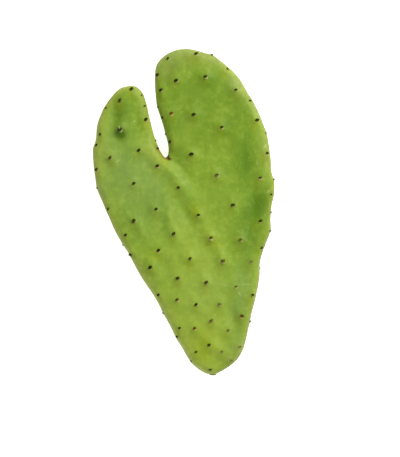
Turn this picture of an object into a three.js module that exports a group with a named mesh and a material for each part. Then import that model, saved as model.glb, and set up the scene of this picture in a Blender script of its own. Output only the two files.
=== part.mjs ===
// One pad (a flattened, fleshy stem joint) of a prickly pear cactus, cut from its plant
// and lying flat. A notch splits its top into a narrow left lobe and a broad right lobe.
// Both faces carry low swellings in slanting rows, each topped by an areole: a small woolly
// cushion with a tuft of short bristles. More areoles sit along the rounded margin.
//
// Millimetres. +Z is up, the base of the pad is at -Y and its tips are at +Y.
// The pad rests on z = 0, and the origin is under the middle of its outline.

import * as THREE from 'three';

// ---- Driving dimensions ----------------------------------------------------------------

// Margin of the pad, counter-clockwise from the tip of its base.
const OUTLINE = [
  // right side, with a small nick two thirds of the way down
  [25.5, -139.6], [31, -137.5], [44, -129], [50.5, -120], [55, -105], [57, -94], [62.5, -73], [65.5, -57],
  [65.5, -46], [68, -36], [75, -15.5], [75, -2], [78.5, 22.5], [76, 34], [75.5, 44], [74.2, 55], [71.9, 66],
  [65, 85.5], [57, 99.5], [54, 105],
  // right lobe
  [49, 113.5], [42, 121.5], [26, 134], [20, 136], [8, 139.6], [-3, 139.8], [-15.5, 134.8], [-23, 126.5],
  [-24.5, 116], [-23, 94],
  // notch
  [-18.5, 79], [-17, 73.5], [-13.5, 60], [-13, 49], [-15.5, 46.7], [-19, 50.5], [-23.5, 60],
  // left lobe
  [-29, 81], [-36, 103.5], [-42.3, 108.6], [-48.3, 108.1], [-54.2, 106.4], [-61, 100], [-70, 85.5], [-74, 75],
  [-75.5, 59.5], [-77.5, 54],
  // left side
  [-77, 38], [-73, 17], [-66.5, 2], [-58, -18], [-49.5, -31.5], [-36.5, -55.5], [-24.5, -73.5], [-17, -87],
  [-4, -111.5], [7.5, -129.5], [16, -136.8],
];
const LENGTH = 280;
const BASE_SCAR_Y = -139.3; // plane of the cut through the joint at the base

const HALF_THICKNESS_BASE = 10.5;
const HALF_THICKNESS_TIP = 6.5;
const RIM_ROUND = 8; // how far in from the margin the edge is rounded
const CROWN = 0.22; // share of the thickness that is lost towards the margin
const CROWN_REACH = 16;

// The ends and sides curl up a little from the spot that the pad rests on.
const REST_POINT = [8, 2]; // under the centre of mass
const REST_PRESS = 0.25; // how far the belly is pressed flat
const BELLY_RISE = 2.5; // height over the surface at which the swellings below are full
const LIFT_REACH = [75, 135]; // distances across and along the pad that the rises are given at
const END_LIFT = 4.5;
const SIDE_LIFT = 2.5;
const TWIST_LIFT = 1.2;

// Areoles, in rows that slant up to the left. Each row is a smooth curve through a few of
// its areoles, and steps says how many even steps lie between one of these and the next.
const AREOLE_ROWS = [
  { through: [[23, -134], [11, -119], [-3, -99], [-21, -71], [-45, -37]], steps: [1, 1, 1, 1] },
  {
    through: [[41, -126], [33, -119], [22, -113], [10, -99], [-5, -75], [-28, -47.5], [-49, -20]],
    steps: [1, 1, 1, 1, 1, 1],
  },
  { through: [[24, -93], [11, -79], [-21, -33], [-42, -8]], steps: [1, 2, 1] },
  { through: [[48, -115], [38, -101], [31, -79], [6, -40], [-23, 2], [-62, 46]], steps: [1, 1, 2, 2, 2] },
  {
    through: [[50, -89], [45, -64], [34, -42], [13, -3], [-4, 20.5], [-22, 39], [-38, 52.5], [-54, 70]],
    steps: [1, 1, 2, 1, 1, 1, 1],
  },
  { through: [[59, -71], [58, -43], [49, -24], [42.5, 5.5], [29, 31], [7, 49]], steps: [1, 1, 1, 1, 1] },
  { through: [[67, -31], [66, -8], [66, 29]], steps: [1, 1] },
  { through: [[33, 72], [9, 83]], steps: [1] },
  { through: [[72, 50], [63, 78], [45, 104], [19, 115], [-6, 112]], steps: [1, 1, 1, 1] },
  { through: [[38, 122], [11, 135], [-13, 131], [-22, 117]], steps: [1, 1, 1] },
  { through: [[-11, 60], [-10, 84], [-19, 104]], steps: [1, 1] },
  { through: [[-32, 79], [-44, 105]], steps: [1] },
  { through: [[-74, 36], [-71, 66], [-54, 95]], steps: [1, 1] },
];
const BACK_ROW_SHIFT = [-4, 10]; // the rows of the back face lie between those of the front
const ROW_JITTER = 1.5;

// Areoles on the very margin, as lengths along it from the tip of the base.
const MARGIN_AREOLES = [
  60, 105, 140, 155, 170, 184, 225, 256, 309, 399, 409, 423, 443, 454, 461, 492, 502,
  548, 582, 619, 640, 674, 742, 765, 789,
];
const MARGIN_BUMP = 0.5;
const MARGIN_BUMP_REACH = 5;

const SWELLING_RISE = 1.2; // of the skin under each areole
const SWELLING_ALONG = 8; // reach along the row
const SWELLING_ACROSS = 5.4;
const AREOLE_FOOT = 1.7; // radius where the cushion leaves the skin
const AREOLE_TOP = 1.25; // radius of the cushion's top
const AREOLE_CUSHION = 0.6; // height of the cushion
const AREOLE_TUFT = 1.5; // height of the bristles
const AREOLE_LEAN = 0.4; // and how far they lean towards the tip of the pad
const AREOLE_SHARE = 0.6; // most that a cushion takes of the way to the next vertex

// Broad swells (rise above zero) and hollows (rise below zero) of the front face.
const FRONT_SWELLS = [
  // banks of the fold that runs on from the notch, and the hollows beside them
  { at: [-10, 33], along: 28, across: 5, turn: -50, rise: 2.2 },
  { at: [-4, 40], along: 15, across: 4.5, turn: -52, rise: -1.6 },
  { at: [-33, 45], along: 13, across: 4, turn: -52, rise: -1.1 },
  { at: [-12, -3], along: 15, across: 4.5, turn: -80, rise: 1.8 },
  { at: [2, -2], along: 12, across: 4.5, turn: -65, rise: -2.1 },
  { at: [14, -4], along: 6, across: 4, turn: -60, rise: 1.2 },
  { at: [23, -22], along: 6, across: 5, turn: -60, rise: 1.6 },
  { at: [16, -28], along: 6, across: 5, turn: 0, rise: -0.8 },
  { at: [32, -37], along: 9, across: 4.5, turn: -65, rise: 1.5 },
  { at: [6, -40], along: 5, across: 4.5, turn: 0, rise: 0.9 },
  { at: [19, -60], along: 6, across: 5, turn: 0, rise: 0.9 },
  // left lobe
  { at: [-59, 84], along: 13, across: 5, turn: 86, rise: -1.8 },
  { at: [-55, 65], along: 6, across: 6, turn: 0, rise: -2.2 },
  { at: [-54, 73], along: 4, across: 4, turn: 0, rise: 0.9 },
  { at: [-62, 46], along: 5, across: 5, turn: 0, rise: 0.8 },
  // left side
  { at: [-35, -17], along: 12, across: 4, turn: -60, rise: 1.0 },
  { at: [-24, -50], along: 14, across: 4, turn: -65, rise: 1.2 },
  { at: [-14, -48], along: 12, across: 4, turn: -65, rise: -1.0 },
  { at: [-24, 2], along: 5, across: 5, turn: 0, rise: 1.1 },
  { at: [-42, -8], along: 5, across: 5, turn: 0, rise: 0.8 },
  { at: [-42, 24], along: 5, across: 5, turn: 0, rise: 0.6 },
  // right side
  { at: [60, 12], along: 24, across: 7, turn: 88, rise: -1.9 },
  { at: [49, -25], along: 6, across: 5, turn: -60, rise: 1.3 },
  { at: [53, -49], along: 9, across: 5, turn: 85, rise: -0.9 },
  // base
  { at: [42, -90], along: 13, across: 5, turn: -75, rise: -1.6 },
  { at: [22, -108], along: 17, across: 5, turn: -42, rise: 1.0 },
  // under the areoles of the right lobe
  { at: [18, 114], along: 5, across: 5, turn: 0, rise: 1.4 },
  { at: [44, 103], along: 5, across: 5, turn: 0, rise: 1.0 },
  { at: [62, 77], along: 5, across: 5, turn: 0, rise: 0.8 },
  { at: [8, 83], along: 5, across: 5, turn: 0, rise: 1.0 },
  { at: [6, 49], along: 5, across: 5, turn: 0, rise: 1.2 },
  { at: [32, 71], along: 5, across: 5, turn: 0, rise: 0.9 },
  { at: [28, 31], along: 5, across: 5, turn: 0, rise: 0.8 },
  { at: [-12, 124], along: 8, across: 4, turn: 75, rise: -0.9 },
  { at: [8, 96], along: 12, across: 6, turn: 80, rise: 0.7 },
];

// ---- Small helpers ---------------------------------------------------------------------

const SEED = 20260;
const mix = (a, b, t) => a + (b - a) * t;

function seededRandom(seed) {
  let state = seed;
  return () => {
    state = (state + 0x6d2b79f5) | 0;
    let t = Math.imul(state ^ (state >>> 15), 1 | state);
    t = (t + Math.imul(t ^ (t >>> 7), 61 | t)) ^ t;
    return ((t ^ (t >>> 14)) >>> 0) / 4294967296;
  };
}

function smoothCurve(points, closed = false) {
  const stops = points.map(([x, y]) => new THREE.Vector3(x, y, 0));
  return new THREE.CatmullRomCurve3(stops, closed, 'centripetal');
}

// ---- Margin ----------------------------------------------------------------------------

const MARGIN_SAMPLES = 2400;
const MARGIN_STRIDE = 8; // samples that the coarser sums and tests step over
const STATIONS = 220; // vertices round the margin
const NORMAL_SPAN = 4; // length of margin that each outward direction is averaged over

// The margin as closely spaced points, each with its outward direction and its length
// along the margin from the tip of the base.
function sampleMargin() {
  const curve = smoothCurve(OUTLINE, true);
  curve.arcLengthDivisions = MARGIN_SAMPLES;
  const length = curve.getLength();
  const points = curve.getSpacedPoints(MARGIN_SAMPLES).slice(0, MARGIN_SAMPLES);
  const span = Math.round((NORMAL_SPAN / length) * MARGIN_SAMPLES);
  return points.map((point, i) => {
    const before = points[(i - span + MARGIN_SAMPLES) % MARGIN_SAMPLES];
    const after = points[(i + span) % MARGIN_SAMPLES];
    const out = new THREE.Vector2(after.y - before.y, before.x - after.x).normalize();
    const along = (i / MARGIN_SAMPLES) * length;
    let push = 0;
    for (const areole of MARGIN_AREOLES) {
      push += MARGIN_BUMP * Math.exp(-(((along - areole) / MARGIN_BUMP_REACH) ** 2));
    }
    return { x: point.x + out.x * push, y: point.y + out.y * push, out, along };
  });
}

const margin = sampleMargin();

// Stations are spread evenly over the margin or the line RIM_ROUND inside it, whichever is
// longer at that place, so that they don't thin out where the margin turns in at the notch.
function pickStations() {
  const inner = margin.map((p) => [p.x - p.out.x * RIM_ROUND, p.y - p.out.y * RIM_ROUND]);
  const reach = [0];
  margin.forEach((p, i) => {
    const next = (i + 1) % MARGIN_SAMPLES;
    const outerStep = Math.hypot(margin[next].x - p.x, margin[next].y - p.y);
    const innerStep = Math.hypot(inner[next][0] - inner[i][0], inner[next][1] - inner[i][1]);
    reach.push(reach[i] + Math.max(outerStep, innerStep));
  });
  const picked = [];
  for (let station = 0, i = 0; station < STATIONS; station++) {
    const goal = (station / STATIONS) * reach[MARGIN_SAMPLES];
    while (reach[i + 1] < goal) i++;
    picked.push(i);
  }
  return picked;
}

// The station next to each margin areole moves onto it.
function nearestStation(stations, along) {
  let best = 0;
  stations.forEach((sample, k) => {
    const gap = (candidate) => Math.abs(margin[candidate].along - along);
    if (gap(sample) < gap(stations[best])) best = k;
  });
  return best;
}

function distanceToMargin(x, y) {
  let best = Infinity;
  for (let i = 0; i < MARGIN_SAMPLES; i += 2) {
    best = Math.min(best, Math.hypot(x - margin[i].x, y - margin[i].y));
  }
  return best;
}

// Same distance, but smooth everywhere, for the crown.
function softDistanceToMargin(x, y) {
  const softness = 4;
  let sum = 0;
  for (let i = 0; i < MARGIN_SAMPLES; i += MARGIN_STRIDE) {
    sum += Math.exp(-Math.hypot(x - margin[i].x, y - margin[i].y) / softness);
  }
  return Math.max(0, -softness * Math.log(sum));
}

function insideRing(ring, x, y) {
  let inside = false;
  ring.forEach(([ax, ay], i) => {
    const [bx, by] = ring[(i + 1) % ring.length];
    if ((ay > y) !== (by > y) && x < ((bx - ax) * (y - ay)) / (by - ay) + ax) inside = !inside;
  });
  return inside;
}

const marginRing = margin.filter((_, i) => i % MARGIN_STRIDE === 0).map((p) => [p.x, p.y]);
const insideMargin = (x, y) => insideRing(marginRing, x, y);

// ---- Areoles of one face ---------------------------------------------------------------

const ROW_SPACING_MIN = 11; // closest that two areoles of a face may lie
const FACE_EDGE_MIN = 3; // closest to the margin that a face areole may lie

function faceAreoles(side) {
  const random = seededRandom(SEED + side);
  const back = side < 0;
  const found = [];
  for (const row of AREOLE_ROWS) {
    const curve = smoothCurve(row.through);
    row.steps.forEach((steps, leg) => {
      const last = leg === row.steps.length - 1;
      for (let k = 0; k < steps + (last ? 1 : 0); k++) {
        const t = (leg + k / steps) / row.steps.length;
        const point = curve.getPoint(t);
        const way = curve.getTangent(t);
        const shake = [random() - 0.5, random() - 0.5].map((v) => 2 * v * ROW_JITTER);
        const x = point.x + (back ? BACK_ROW_SHIFT[0] + shake[0] : 0);
        const y = point.y + (back ? BACK_ROW_SHIFT[1] + shake[1] : 0);
        const size = mix(0.8, 1.2, random());
        const crowded = found.some((other) => Math.hypot(other.x - x, other.y - y) < ROW_SPACING_MIN);
        const off = !insideMargin(x, y) || distanceToMargin(x, y) < FACE_EDGE_MIN;
        if (back && (crowded || off)) continue;
        found.push({ x, y, way, size });
      }
    });
  }
  return found;
}

// ---- Surface heights -------------------------------------------------------------------

// An oval rise with a soft edge. way is the direction of its long reach.
function swell(dx, dy, wayX, wayY, along, across) {
  const s = (dx * wayX + dy * wayY) / along;
  const c = (dy * wayX - dx * wayY) / across;
  return Math.exp(-(s * s + c * c));
}

function relief(x, y, side, areoles) {
  let rise = 0;
  for (const a of areoles) {
    const bump = swell(x - a.x, y - a.y, a.way.x, a.way.y, SWELLING_ALONG, SWELLING_ACROSS);
    rise += SWELLING_RISE * a.size * bump;
  }
  if (side > 0) {
    for (const s of FRONT_SWELLS) {
      const turn = THREE.MathUtils.degToRad(s.turn);
      const way = [Math.cos(turn), Math.sin(turn)];
      rise += s.rise * swell(x - s.at[0], y - s.at[1], way[0], way[1], s.along, s.across);
    }
  }
  return rise;
}

function fullHalfThickness(y) {
  return mix(HALF_THICKNESS_BASE, HALF_THICKNESS_TIP, THREE.MathUtils.smoothstep(y, -LENGTH / 2, LENGTH / 2));
}

function lift(x, y) {
  const u = (x - REST_POINT[0]) / LIFT_REACH[0];
  const v = (y - REST_POINT[1]) / LIFT_REACH[1];
  return END_LIFT * v * v + SIDE_LIFT * u * u + TWIST_LIFT * u * v;
}

const middleHeight = (x, y) => fullHalfThickness(y) - REST_PRESS + lift(x, y);

// Height of the front (side 1) or back (side -1) face.
function faceHeight(x, y, side, areoles) {
  const d = distanceToMargin(x, y);
  const inward = Math.max(0, 1 - d / RIM_ROUND);
  const round = Math.sqrt(1 - inward * inward);
  const crown = 1 - CROWN * Math.exp(-softDistanceToMargin(x, y) / CROWN_REACH);
  const free = side > 0 ? 1 : Math.min(1, lift(x, y) / BELLY_RISE);
  const half = fullHalfThickness(y) * crown * round + relief(x, y, side, areoles) * round * round * free;
  return Math.max(0, middleHeight(x, y) + side * half);
}

// ---- Flat triangulation of a face ------------------------------------------------------

const FILL_STEP = 8; // spacing of the plain points between areoles
const FILL_CLEAR = 6.2; // and how far they stay from an areole
const FOOT_RING = 4.4; // radius of the ring of points round each areole
const RING_POINTS = 6;
const RING_TURN = 0.3; // radians, so that the rings of one row don't line up with the fill
const FILL_NUDGE = 0.13; // keeps four fill points from lying on one circle

function interiorPoints(areoles) {
  const points = [];
  for (const a of areoles) {
    points.push([a.x, a.y]);
    for (let k = 0; k < RING_POINTS; k++) {
      const angle = (k / RING_POINTS) * 2 * Math.PI + RING_TURN;
      points.push([a.x + FOOT_RING * Math.cos(angle), a.y + FOOT_RING * Math.sin(angle)]);
    }
  }
  const rowStep = FILL_STEP * Math.sqrt(3) / 2;
  const rows = Math.ceil(LENGTH / rowStep);
  for (let row = 0; row < rows; row++) {
    for (let column = 0; column < rows; column++) {
      const x = (column - rows / 2 + (row % 2) / 2) * FILL_STEP;
      const y = (row - rows / 2) * rowStep;
      const clear = areoles.every((a) => Math.hypot(a.x - x, a.y - y) > FILL_CLEAR);
      if (clear && insideMargin(x, y) && distanceToMargin(x, y) > RIM_ROUND + FILL_CLEAR / 2) {
        points.push([x + FILL_NUDGE * Math.sin(row), y + FILL_NUDGE * Math.sin(column)]);
      }
    }
  }
  return points;
}

// Delaunay triangles of a set of points, by adding one point at a time.
function delaunay(points) {
  const far = 10 * LENGTH;
  const all = [...points, [-far, -far], [far, -far], [0, far]];
  const n = points.length;
  const circled = (a, b, c) => {
    const [ax, ay] = all[a];
    const [bx, by] = [all[b][0] - ax, all[b][1] - ay];
    const [cx, cy] = [all[c][0] - ax, all[c][1] - ay];
    const d = 2 * (bx * cy - by * cx);
    const ux = (cy * (bx * bx + by * by) - by * (cx * cx + cy * cy)) / d;
    const uy = (bx * (cx * cx + cy * cy) - cx * (bx * bx + by * by)) / d;
    return { abc: [a, b, c], x: ax + ux, y: ay + uy, r2: ux * ux + uy * uy };
  };
  let triangles = [circled(n, n + 1, n + 2)];
  for (let p = 0; p < n; p++) {
    const [x, y] = all[p];
    const hit = triangles.filter((t) => (t.x - x) ** 2 + (t.y - y) ** 2 < t.r2);
    const edges = new Map();
    for (const { abc: [a, b, c] } of hit) {
      for (const [from, to] of [[a, b], [b, c], [c, a]]) {
        if (!edges.delete(`${to},${from}`)) edges.set(`${from},${to}`, [from, to]);
      }
    }
    triangles = triangles.filter((t) => !hit.includes(t));
    for (const [from, to] of edges.values()) triangles.push(circled(from, to, p));
  }
  return triangles.map((t) => t.abc).filter((abc) => abc.every((corner) => corner < n));
}

// ---- The pad ---------------------------------------------------------------------------

const RIM_ANGLES = [30, 60, 90]; // steps from the margin up onto a face

class Skin {
  constructor() {
    this.vertices = [];
    this.faces = [];
  }

  addVertex(x, y, z) {
    this.vertices.push(new THREE.Vector3(x, Math.max(y, BASE_SCAR_Y), Math.max(z, 0)));
    return this.vertices.length - 1;
  }

  // A band of quads between two rings of vertices, each split in two.
  addBand(lower, upper, flip) {
    for (let k = 0; k < lower.length; k++) {
      const next = (k + 1) % lower.length;
      this.addFace(lower[k], lower[next], upper[next], flip);
      this.addFace(lower[k], upper[next], upper[k], flip);
    }
  }

  addFace(a, b, c, flip) {
    this.faces.push(flip ? [a, c, b] : [a, b, c]);
  }

  // The vertices round one vertex, in order, and the outward direction there.
  fanAround(centre) {
    const next = new Map();
    const normal = new THREE.Vector3();
    for (const face of this.faces) {
      const at = face.indexOf(centre);
      if (at < 0) continue;
      const [a, b] = [face[(at + 1) % 3], face[(at + 2) % 3]];
      next.set(a, b);
      const first = this.vertices[a].clone().sub(this.vertices[centre]);
      const second = this.vertices[b].clone().sub(this.vertices[centre]);
      normal.add(first.cross(second).normalize());
    }
    const ring = [next.keys().next().value];
    while (ring.length < next.size) ring.push(next.get(ring[ring.length - 1]));
    return { ring, normal: normal.normalize() };
  }

  // Raises an areole on a vertex: a cushion with a flared foot, and on it a tuft of
  // bristles that leans towards the tip of the pad.
  raiseAreole(centre) {
    const { ring, normal } = this.fanAround(centre);
    const middle = this.vertices[centre].clone();
    const lean = new THREE.Vector3(0, 1, 0).projectOnPlane(normal).multiplyScalar(AREOLE_LEAN);
    this.faces = this.faces.filter((face) => !face.includes(centre));
    const levels = [[AREOLE_FOOT, 0], [AREOLE_TOP, AREOLE_CUSHION]];
    let below = ring;
    for (const [radius, height] of levels) {
      const level = ring.map((corner) => {
        const spoke = this.vertices[corner].clone().sub(middle);
        const room = Math.min(1, (AREOLE_SHARE * spoke.length()) / AREOLE_FOOT);
        const at = middle.clone().add(spoke.setLength(radius * room)).addScaledVector(normal, height);
        return this.addVertex(at.x, at.y, at.z);
      });
      this.addBand(below, level, false);
      below = level;
    }
    this.vertices[centre].addScaledVector(normal, AREOLE_TUFT).add(lean);
    this.vertices[centre].z = Math.max(this.vertices[centre].z, 0);
    below.forEach((corner, k) => this.addFace(corner, below[(k + 1) % below.length], centre, false));
  }

  toGeometry() {
    const geometry = new THREE.BufferGeometry();
    const numbers = this.vertices.flatMap((v) => [...v]);
    geometry.setAttribute('position', new THREE.Float32BufferAttribute(numbers, 3));
    geometry.setIndex(this.faces.flat());
    geometry.computeVertexNormals();
    return geometry;
  }
}

// A face areole with room round it gets points of its own. One nearer the margin takes over
// the closest vertex of the rim.
const hasRoom = (areole) => distanceToMargin(areole.x, areole.y) > RIM_ROUND + FOOT_RING + 1;

function buildFace(skin, stations, equator, side) {
  const areoles = faceAreoles(side);
  const flip = side < 0;
  const centres = [];
  const rings = RIM_ANGLES.map((angle) => {
    const inset = RIM_ROUND * (1 - Math.cos(THREE.MathUtils.degToRad(angle)));
    return stations.map(({ x, y, out }) => ({ x: x - out.x * inset, y: y - out.y * inset }));
  });
  const flat = rings.flat();
  for (const areole of areoles.filter((a) => !hasRoom(a))) {
    const gap = (spot) => Math.hypot(spot.x - areole.x, spot.y - areole.y);
    const closest = flat.reduce((best, spot) => (gap(spot) < gap(best) ? spot : best));
    Object.assign(closest, { x: areole.x, y: areole.y, areole: true });
  }
  let outer = equator;
  for (const ring of rings) {
    const level = ring.map((spot) => {
      const index = skin.addVertex(spot.x, spot.y, faceHeight(spot.x, spot.y, side, areoles));
      if (spot.areole) centres.push(index);
      return index;
    });
    skin.addBand(outer, level, flip);
    outer = level;
  }

  const roomy = areoles.filter(hasRoom);
  const rim = rings[rings.length - 1].map((spot) => [spot.x, spot.y]);
  const inner = interiorPoints(roomy);
  const indices = [
    ...outer,
    ...inner.map(([x, y]) => skin.addVertex(x, y, faceHeight(x, y, side, areoles))),
  ];
  roomy.forEach((areole, k) => centres.push(indices[rim.length + k * (RING_POINTS + 1)]));
  const points = [...rim, ...inner];
  for (const corners of delaunay(points)) {
    const x = (points[corners[0]][0] + points[corners[1]][0] + points[corners[2]][0]) / 3;
    const y = (points[corners[0]][1] + points[corners[1]][1] + points[corners[2]][1]) / 3;
    if (!insideRing(rim, x, y)) continue;
    skin.addFace(...corners.map((corner) => indices[corner]), flip);
  }
  return centres;
}

function buildPad() {
  const skin = new Skin();
  const picked = pickStations();
  const marginCentres = [];
  for (const along of MARGIN_AREOLES) {
    const k = nearestStation(picked, along);
    picked[k] = Math.round((along / margin[MARGIN_SAMPLES - 1].along) * (MARGIN_SAMPLES - 1));
    marginCentres.push(k);
  }
  const stations = picked.map((sample) => margin[sample]);
  const equator = stations.map(({ x, y }) => skin.addVertex(x, y, middleHeight(x, y)));
  const centres = [
    ...marginCentres.map((k) => equator[k]),
    ...buildFace(skin, stations, equator, 1),
    ...buildFace(skin, stations, equator, -1),
  ];
  centres.forEach((centre) => skin.raiseAreole(centre));
  return skin.toGeometry();
}

const padSkin = new THREE.MeshStandardMaterial({ color: 0x86a23a, roughness: 0.48, metalness: 0 });
const pad = new THREE.Mesh(buildPad(), padSkin);
pad.name = 'pad';

const model = new THREE.Group();
model.add(pad);

export default model;
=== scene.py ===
"""One pad of a prickly pear, cut from its plant and laid on a pale floor, seen from above.

The pad is blocked out from its margin, rounded, and then shaped by the same rules as the
solid: thickness, lift of the ends, swellings in slanting rows. Every areole gets its woolly
cushion, its leaf scar and its tuft of bristles. Shapes are in millimetres until they are
written to a mesh, with +Y from the base to the tips and +Z up.
"""

import math
import random

import bmesh
import bpy
import numpy as np
from mathutils import Matrix, Vector


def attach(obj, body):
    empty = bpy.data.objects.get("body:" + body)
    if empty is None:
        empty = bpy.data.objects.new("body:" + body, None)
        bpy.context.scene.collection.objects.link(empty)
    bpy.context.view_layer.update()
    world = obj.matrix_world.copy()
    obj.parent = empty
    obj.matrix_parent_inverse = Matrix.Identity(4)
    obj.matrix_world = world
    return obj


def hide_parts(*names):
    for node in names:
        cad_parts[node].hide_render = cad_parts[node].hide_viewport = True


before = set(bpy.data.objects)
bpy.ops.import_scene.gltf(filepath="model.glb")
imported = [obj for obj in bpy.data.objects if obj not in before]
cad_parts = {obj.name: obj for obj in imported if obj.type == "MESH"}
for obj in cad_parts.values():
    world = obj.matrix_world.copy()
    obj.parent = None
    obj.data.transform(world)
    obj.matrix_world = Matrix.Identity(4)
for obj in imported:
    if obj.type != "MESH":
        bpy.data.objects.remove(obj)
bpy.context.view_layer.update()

MM = 0.001

# ---- Shape of the pad, in millimetres -------------------------------------------------

OUTLINE = [
    # right side, with a small nick two thirds of the way down
    (25.5, -139.6), (31, -137.5), (44, -129), (50.5, -120), (55, -105), (57, -94), (62.5, -73),
    (65.5, -57), (65.5, -46), (68, -36), (75, -15.5), (75, -2), (78.5, 22.5), (76, 34), (75.5, 44),
    (74.2, 55), (71.9, 66), (65, 85.5), (57, 99.5), (54, 105),
    # right lobe
    (49, 113.5), (42, 121.5), (26, 134), (20, 136), (8, 139.6), (-3, 139.8), (-15.5, 134.8),
    (-23, 126.5), (-24.5, 116), (-23, 94),
    # notch
    (-18.5, 79), (-17, 73.5), (-13.5, 60), (-13, 49), (-15.5, 46.7), (-19, 50.5), (-23.5, 60),
    # left lobe
    (-29, 81), (-36, 103.5), (-42.3, 108.6), (-48.3, 108.1), (-54.2, 106.4), (-61, 100),
    (-70, 85.5), (-74, 75), (-75.5, 59.5), (-77.5, 54),
    # left side
    (-77, 38), (-73, 17), (-66.5, 2), (-58, -18), (-49.5, -31.5), (-36.5, -55.5), (-24.5, -73.5),
    (-17, -87), (-4, -111.5), (7.5, -129.5), (16, -136.8),
]
LENGTH = 280
BASE_SCAR_Y = -139.3  # plane of the cut at the base

HALF_THICKNESS_BASE = 10.5
HALF_THICKNESS_TIP = 6.5
RIM_ROUND = 8  # how far in from the margin the edge is rounded
CROWN = 0.22  # share of the thickness that is lost towards the margin
CROWN_REACH = 16
SOFTNESS = 4  # of the distance to the margin that the crown is worked out from

REST_POINT = (8, 2)  # under the centre of mass
REST_PRESS = 0.25  # how far the belly is pressed flat
PRESS_SOFTNESS = 0.3  # of the edge of the flat spot
BELLY_RISE = 2.5  # the swellings of the back are full where the pad is lifted this far
LIFT_REACH = (75, 135)  # across and along the pad
END_LIFT = 4.5
SIDE_LIFT = 2.5
TWIST_LIFT = 1.2

AREOLE_ROWS = [  # stops of each row, and how many even steps lead from one stop to the next
    ([(23, -134), (11, -119), (-3, -99), (-21, -71), (-45, -37)], (1, 1, 1, 1)),
    (
        [(41, -126), (33, -119), (22, -113), (10, -99), (-5, -75), (-28, -47.5), (-49, -20)],
        (1, 1, 1, 1, 1, 1),
    ),
    ([(24, -93), (11, -79), (-21, -33), (-42, -8)], (1, 2, 1)),
    ([(48, -115), (38, -101), (31, -79), (6, -40), (-23, 2), (-62, 46)], (1, 1, 2, 2, 2)),
    (
        [(50, -89), (45, -64), (34, -42), (13, -3), (-4, 20.5), (-22, 39), (-38, 52.5), (-54, 70)],
        (1, 1, 2, 1, 1, 1, 1),
    ),
    ([(59, -71), (58, -43), (49, -24), (42.5, 5.5), (29, 31), (7, 49)], (1, 1, 1, 1, 1)),
    ([(67, -31), (66, -8), (66, 29)], (1, 1)),
    ([(33, 72), (9, 83)], (1,)),
    ([(72, 50), (63, 78), (45, 104), (19, 115), (-6, 112)], (1, 1, 1, 1)),
    ([(38, 122), (11, 135), (-13, 131), (-22, 117)], (1, 1, 1)),
    ([(-11, 60), (-10, 84), (-19, 104)], (1, 1)),
    ([(-32, 79), (-44, 105)], (1,)),
    ([(-74, 36), (-71, 66), (-54, 95)], (1, 1)),
]
BACK_ROW_SHIFT = (-4, 10)  # the rows of the back lie between those of the front
ROW_JITTER = 1.5
ROW_SPACING_MIN = 11  # closest that two areoles of a face may lie
FACE_EDGE_MIN = 3  # closest to the margin that a face areole may lie
AREOLE_SIZES = (0.8, 0.4)  # smallest, and the range above it
SEED = 20260

MARGIN_AREOLES = {  # length along the margin, and degrees that it sits up the round edge
    60: 15, 105: 10, 140: 20, 155: 10, 170: 45, 184: 12, 225: 20, 256: 38, 309: 15,
    399: 15, 409: 25, 423: 10, 443: 25, 454: 20, 461: 8, 492: 30, 502: 25, 548: 36,
    582: 40, 619: 18, 640: 45, 674: 12, 742: 20, 765: 40, 789: 32,
}
MARGIN_BUMP = 0.5
MARGIN_BUMP_REACH = 5

SWELLING_RISE = 1.2
SWELLING_ALONG = 8
SWELLING_ACROSS = 5.4

# A row below is an oval patch: its middle, its reach along and across, the degrees that its
# long way is turned from +X towards +Y, and its rise or strength.
FRONT_SWELLS = [
    # banks of the fold that runs on from the notch, and the hollows beside them
    ((-10, 33), 28, 5, -50, 2.2),
    ((-4, 40), 15, 4.5, -52, -1.6),
    ((-33, 45), 13, 4, -52, -1.1),
    ((-12, -3), 15, 4.5, -80, 1.8),
    ((2, -2), 12, 4.5, -65, -2.1),
    ((14, -4), 6, 4, -60, 1.2),
    ((23, -22), 6, 5, -60, 1.6),
    ((16, -28), 6, 5, 0, -0.8),
    ((32, -37), 9, 4.5, -65, 1.5),
    ((6, -40), 5, 4.5, 0, 0.9),
    ((19, -60), 6, 5, 0, 0.9),
    # left lobe
    ((-59, 84), 13, 5, 86, -1.8),
    ((-55, 65), 6, 6, 0, -2.2),
    ((-54, 73), 4, 4, 0, 0.9),
    ((-62, 46), 5, 5, 0, 0.8),
    # left side
    ((-35, -17), 12, 4, -60, 1.0),
    ((-24, -50), 14, 4, -65, 1.2),
    ((-14, -48), 12, 4, -65, -1.0),
    ((-24, 2), 5, 5, 0, 1.1),
    ((-42, -8), 5, 5, 0, 0.8),
    ((-42, 24), 5, 5, 0, 0.6),
    # right side
    ((60, 12), 24, 7, 88, -1.9),
    ((49, -25), 6, 5, -60, 1.3),
    ((53, -49), 9, 5, 85, -0.9),
    # base
    ((42, -90), 13, 5, -75, -1.6),
    ((22, -108), 17, 5, -42, 1.0),
    # under the areoles of the right lobe
    ((18, 114), 5, 5, 0, 1.4),
    ((44, 103), 5, 5, 0, 1.0),
    ((62, 77), 5, 5, 0, 0.8),
    ((8, 83), 5, 5, 0, 1.0),
    ((6, 49), 5, 5, 0, 1.2),
    ((32, 71), 5, 5, 0, 0.9),
    ((28, 31), 5, 5, 0, 0.8),
    ((-12, 124), 8, 4, 75, -0.9),
    ((8, 96), 12, 6, 80, 0.7),
]

GROWTH_ROOT = (22, -190)  # areoles fan out from here, so their upper sides face away from it
UNDER_SHIFT = (1.5, 4.5)  # left of and below an areole: yellower skin, and painted shade of its swelling
UNDER_ALONG = 5
UNDER_ACROSS = 3.6
SPINY_AREOLE = (-54, 70)  # the one that still has a pale spine

NOTCH_FLOOR = [((-14.5, 48), 3, 2.6, -20, 1.1)]  # moves the notch's floor towards the base

# ---- Colour patches of the skin, in millimetres ---------------------------------------

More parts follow.
